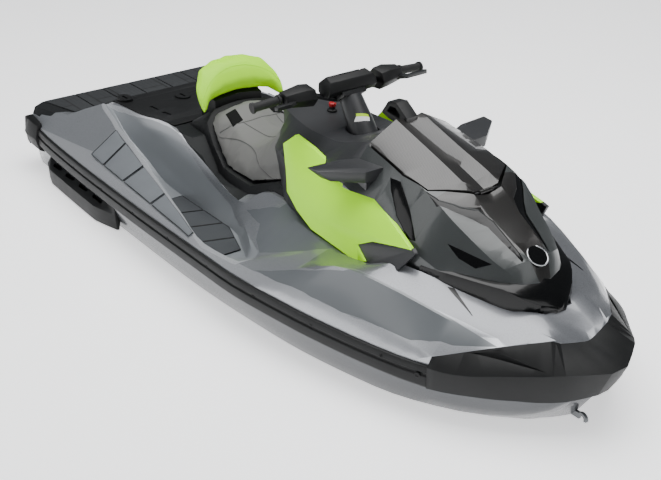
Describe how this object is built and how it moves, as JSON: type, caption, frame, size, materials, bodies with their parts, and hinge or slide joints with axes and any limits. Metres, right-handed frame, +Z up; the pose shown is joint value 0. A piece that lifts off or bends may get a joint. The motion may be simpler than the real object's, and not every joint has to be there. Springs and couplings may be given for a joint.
{
  "type": "personal watercraft",
  "caption": "Sit-astride personal watercraft with faceted hull and deck, deep footwells, leaning seat with bolster, steered jet drive, reverse bucket and opening front storage.",
  "frame": {"origin": "where the transom, the still waterline and the middle plane meet", "axes": "+X to the bow, +Y to port, +Z up"},
  "size_m": [3.344, 1.252, 1.134],
  "materials": {
    "gelcoat": "metallic silver gel coat, gloss",
    "black_trim": "moulded black, fine texture",
    "charcoal": "charcoal gloss",
    "dark_lid": "dark woven-look gloss",
    "lime": "lime yellow gloss",
    "lime_vinyl": "lime marine vinyl",
    "seat_vinyl": "grey marine vinyl",
    "dark_vinyl": "dark marine vinyl",
    "console_plastic": "dark grey, satin",
    "mat_foam": "grooved grey traction foam",
    "grip_rubber": "knurled black rubber",
    "black_metal": "black powder coat",
    "bright_metal": "brushed stainless",
    "cast_alloy": "cast, bead blasted",
    "display": "display cover, gloss",
    "engine_paint": "plain block"
  },
  "bodies": {
    "craft": {"accessory_bases": "black_trim", "backrest_bolster": "lime_vinyl", "bolster_mount": "black_trim", "bow_bumper": "black_trim", "bow_eye": "bright_metal", "bucket_pins": "bright_metal", "console": "console_plastic", "deck_shell": "gelcoat", "engine_block": "engine_paint", "footwell_mats": "mat_foam", "haunch_pads": "mat_foam", "hood_chin": "black_trim", "hood_emblem": "bright_metal", "hood_inserts": "black_trim", "hood_shell": "charcoal", "hull_shell": "gelcoat", "intake_grate": "cast_alloy", "jet_pump_housing": "cast_alloy", "lid_hinge": "black_metal", "lower_panels": "black_trim", "mirrors": "console_plastic", "platform_mat": "mat_foam", "rear_deck_panel": "black_trim", "ride_plate": "cast_alloy", "rub_rails": "black_trim", "seat_base": "dark_vinyl", "seat_cushion": "seat_vinyl", "side_panels": "lime", "sponsons": "black_trim", "steering_bearing": "black_metal", "stern_bumpers": "black_trim", "stern_tow_eyes": "bright_metal", "storage_bin": "black_trim"},
    "steering": {"steering_neck": "console_plastic", "handlebar": "black_metal", "grips": "grip_rubber", "control_housings": "black_trim", "gauge_pod": "black_trim", "throttle_lever": "black_metal", "brake_lever": "black_metal"},
    "trim": {"trim_ring": "black_metal"},
    "nozzle": {"steering_nozzle": "cast_alloy"},
    "bucket": {"reverse_bucket": "black_metal"},
    "impeller_body": {"impeller": "bright_metal"},
    "lid": {"storage_lid": "dark_lid"}
  },
  "joints": [
    {"name": "steering_turn", "type": "hinge", "parent": "craft", "child": "steering", "pos_m": [1.88, 0, 0.79], "axis": [-0.5736, 0, 0.8192], "range_deg": [-38, 38]},
    {"name": "trim_tilt", "type": "hinge", "parent": "craft", "child": "trim", "pos_m": [0.14, 0, -0.15], "axis": [0, 1, 0], "range_deg": [-8, 8]},
    {"name": "nozzle_turn", "type": "hinge", "parent": "trim", "child": "nozzle", "pos_m": [0.14, 0, -0.15], "axis": [0, 0, 1], "range_deg": [-22, 22]},
    {"name": "bucket_drop", "type": "hinge", "parent": "craft", "child": "bucket", "pos_m": [0.14, 0, -0.15], "axis": [0, -1, 0], "range_deg": [0, 70]},
    {"name": "impeller_spin", "type": "hinge", "parent": "craft", "child": "impeller_body", "pos_m": [0.3, 0, -0.15], "axis": [1, 0, 0], "continuous": true},
    {"name": "lid_open", "type": "hinge", "parent": "craft", "child": "lid", "pos_m": [2.65, 0, 0.652], "axis": [0, 1, 0], "range_deg": [0, 60]}
  ],
  "couplings": [
    {"joint": "nozzle_turn", "follows": "steering_turn", "ratio": 0.55}
  ]
}
